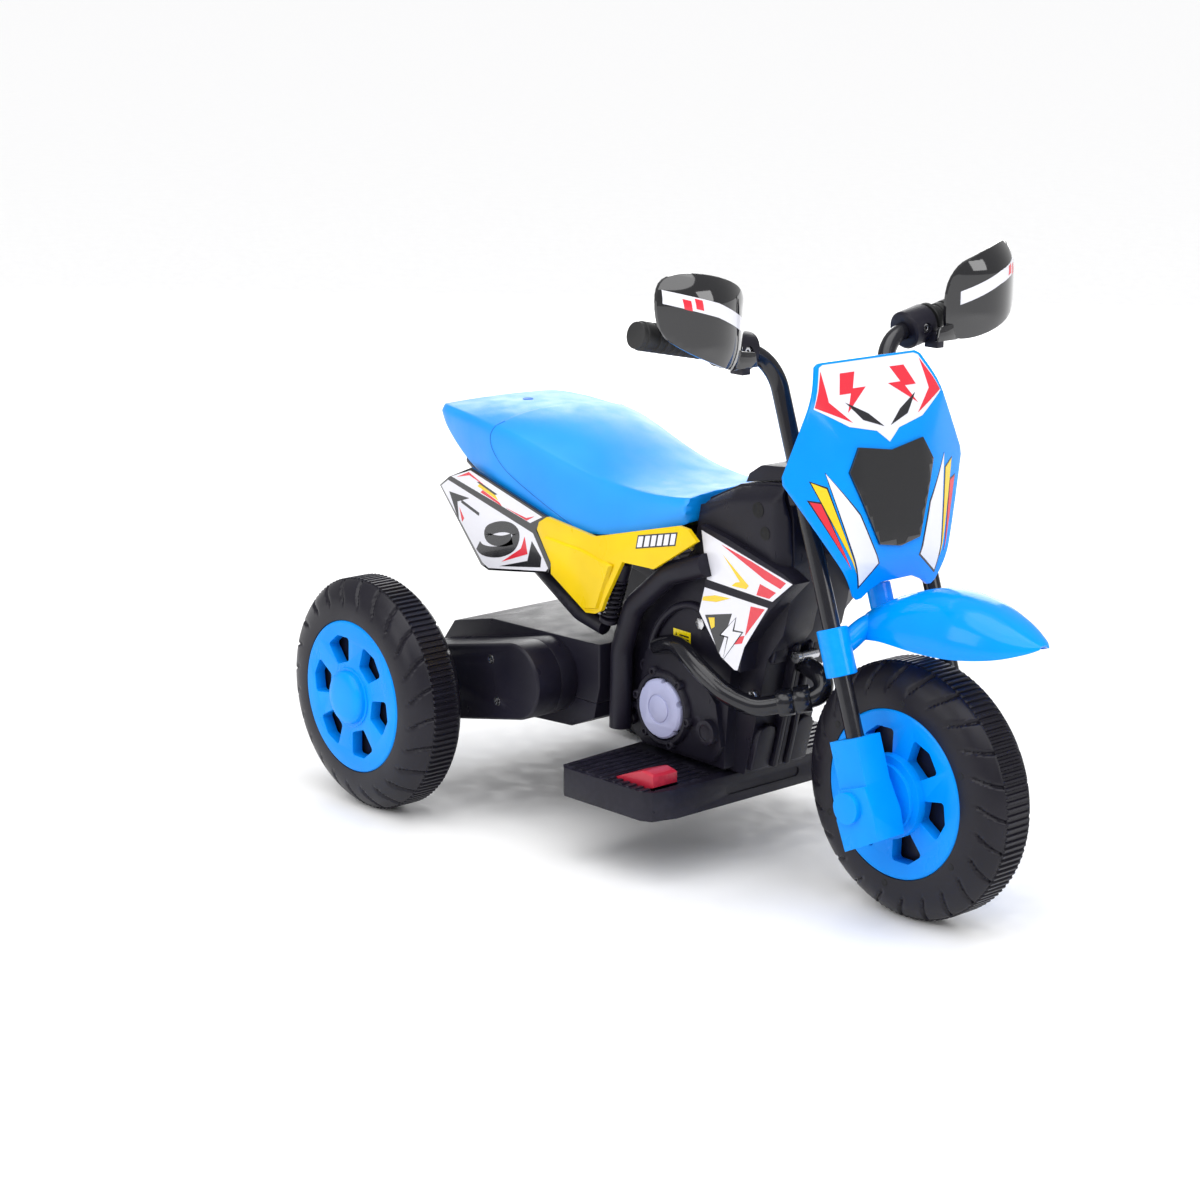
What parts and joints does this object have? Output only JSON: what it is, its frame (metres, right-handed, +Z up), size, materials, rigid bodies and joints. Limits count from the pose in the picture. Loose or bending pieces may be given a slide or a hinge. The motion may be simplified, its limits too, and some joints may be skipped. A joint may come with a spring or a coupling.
{
  "type": "children's electric tricycle",
  "caption": "Child's electric ride-on trike in motocross style: forked front wheel with high handlebar, long saddle, black body shell, footboard and geared rear axle.",
  "frame": {"origin": "on the ground, at the middle of the overall length and width", "axes": "+X forward along the trike, +Y to the rider's left, +Z up"},
  "size_m": [0.819, 0.4564, 0.5794],
  "materials": {
    "tyre_plastic": "matt, fine ribs across the tread",
    "blue_plastic": "semi-gloss",
    "blue_panel": "gloss, with printed stripes",
    "black_gloss": "gloss",
    "yellow_plastic": "semi-gloss",
    "black_plastic": "satin, finely textured",
    "black_tube": "gloss black paint",
    "grip_rubber": "matt",
    "silver_plastic": "satin silver",
    "red_plastic": "semi-gloss",
    "switch_plastic": "satin",
    "gear_nylon": "satin",
    "bright_steel": "zinc plated",
    "bush_nylon": "satin",
    "battery_case": "matt"
  },
  "bodies": {
    "chassis": {"axle_housing_lower": "black_plastic", "axle_housing_upper": "black_plastic", "axle_support_left": "black_plastic", "battery": "battery_case", "body_shell_left": "black_plastic", "body_shell_right": "black_plastic", "charge_socket": "black_plastic", "clutch_covers": "silver_plastic", "dash_plate": "black_plastic", "drive_motor": "bright_steel", "engine_bolts": "bright_steel", "exhaust_pipe": "black_tube", "footboard": "black_plastic", "gearbox_base": "black_plastic", "gearbox_cover": "black_plastic", "number_plate_left": "black_gloss", "number_plate_right": "black_gloss", "pan_head_screws": "bright_steel", "pedal_spring": "bright_steel", "pedal_switch": "black_plastic", "rear_axle": "bright_steel", "seat": "blue_plastic", "seat_base": "black_plastic", "shock_absorbers": "black_plastic", "side_panel_left": "yellow_plastic", "side_panel_right": "yellow_plastic", "steering_bushes": "bush_nylon", "steering_neck": "black_plastic"},
    "steering": {"fork_tube_left": "black_tube", "fork_tube_right": "black_tube", "grip_left": "grip_rubber", "grip_right": "grip_rubber", "grip_clamp_left": "black_plastic", "grip_clamp_right": "black_plastic", "clamp_screws": "bright_steel", "hand_guard_left": "black_gloss", "hand_guard_right": "black_gloss", "fork_cover_left": "blue_plastic", "fork_cover_right": "blue_plastic", "fender": "blue_plastic", "steering_stem": "bright_steel", "upper_yoke": "black_plastic", "front_panel": "blue_panel", "headlight_visor": "black_gloss", "front_axle": "bright_steel"},
    "front_wheel": {"front_tyre": "tyre_plastic", "front_wheel_disc_left": "blue_plastic", "front_wheel_disc_right": "blue_plastic"},
    "rear_wheel_right": {"rear_tyre_right": "tyre_plastic", "rear_wheel_disc_right": "blue_plastic", "hub_cap_right": "blue_plastic", "output_gear": "gear_nylon"},
    "rear_wheel_left": {"rear_tyre_left": "tyre_plastic", "rear_wheel_disc_left": "blue_plastic", "hub_cap_left": "blue_plastic"},
    "reduction_1": {"reduction_gear_1": "gear_nylon"},
    "reduction_2": {"reduction_gear_2": "gear_nylon"},
    "motor_rotor": {"motor_pinion": "bright_steel"},
    "accelerator": {"accelerator_pedal": "red_plastic"},
    "direction_switch": {"direction_rocker": "switch_plastic"}
  },
  "joints": [
    {"name": "steering", "type": "hinge", "parent": "chassis", "child": "steering", "pos_m": [0.2785, 0, 0.1175], "axis": [-0.3223, 0, 0.9466], "range_deg": [-28, 28]},
    {"name": "front_wheel_spin", "type": "hinge", "parent": "steering", "child": "front_wheel", "pos_m": [0.2725, 0, 0.1175], "axis": [0, 1, 0], "continuous": true},
    {"name": "rear_wheel_right_spin", "type": "hinge", "parent": "chassis", "child": "rear_wheel_right", "pos_m": [-0.292, -0.183, 0.1175], "axis": [0, 1, 0], "continuous": true},
    {"name": "rear_wheel_left_spin", "type": "hinge", "parent": "chassis", "child": "rear_wheel_left", "pos_m": [-0.292, 0.183, 0.1175], "axis": [0, 1, 0], "continuous": true},
    {"name": "reduction_1_spin", "type": "hinge", "parent": "chassis", "child": "reduction_1", "pos_m": [-0.24699, -0.115, 0.12698], "axis": [0, 1, 0], "continuous": true},
    {"name": "reduction_2_spin", "type": "hinge", "parent": "chassis", "child": "reduction_2", "pos_m": [-0.20198, -0.108, 0.13647], "axis": [0, 1, 0], "continuous": true},
    {"name": "motor_spin", "type": "hinge", "parent": "chassis", "child": "motor_rotor", "pos_m": [-0.15697, -0.1, 0.14596], "axis": [0, 1, 0], "continuous": true},
    {"name": "accelerator_press", "type": "hinge", "parent": "chassis", "child": "accelerator", "pos_m": [0.015, -0.113, 0.084], "axis": [0, 1, 0], "range_deg": [0, 6], "stiffness_Nm_per_rad": 4, "springref_deg": -2.86, "deforming": ["pedal_spring"]},
    {"name": "direction_rock", "type": "hinge", "parent": "chassis", "child": "direction_switch", "pos_m": [0.124, 0, 0.389], "axis": [0, 1, 0], "range_deg": [-8, 8]}
  ],
  "couplings": [
    {"joint": "reduction_1_spin", "follows": "rear_wheel_right_spin", "ratio": -2.2857},
    {"joint": "reduction_2_spin", "follows": "rear_wheel_right_spin", "ratio": 5.2245},
    {"joint": "motor_spin", "follows": "rear_wheel_right_spin", "ratio": -11.942}
  ]
}
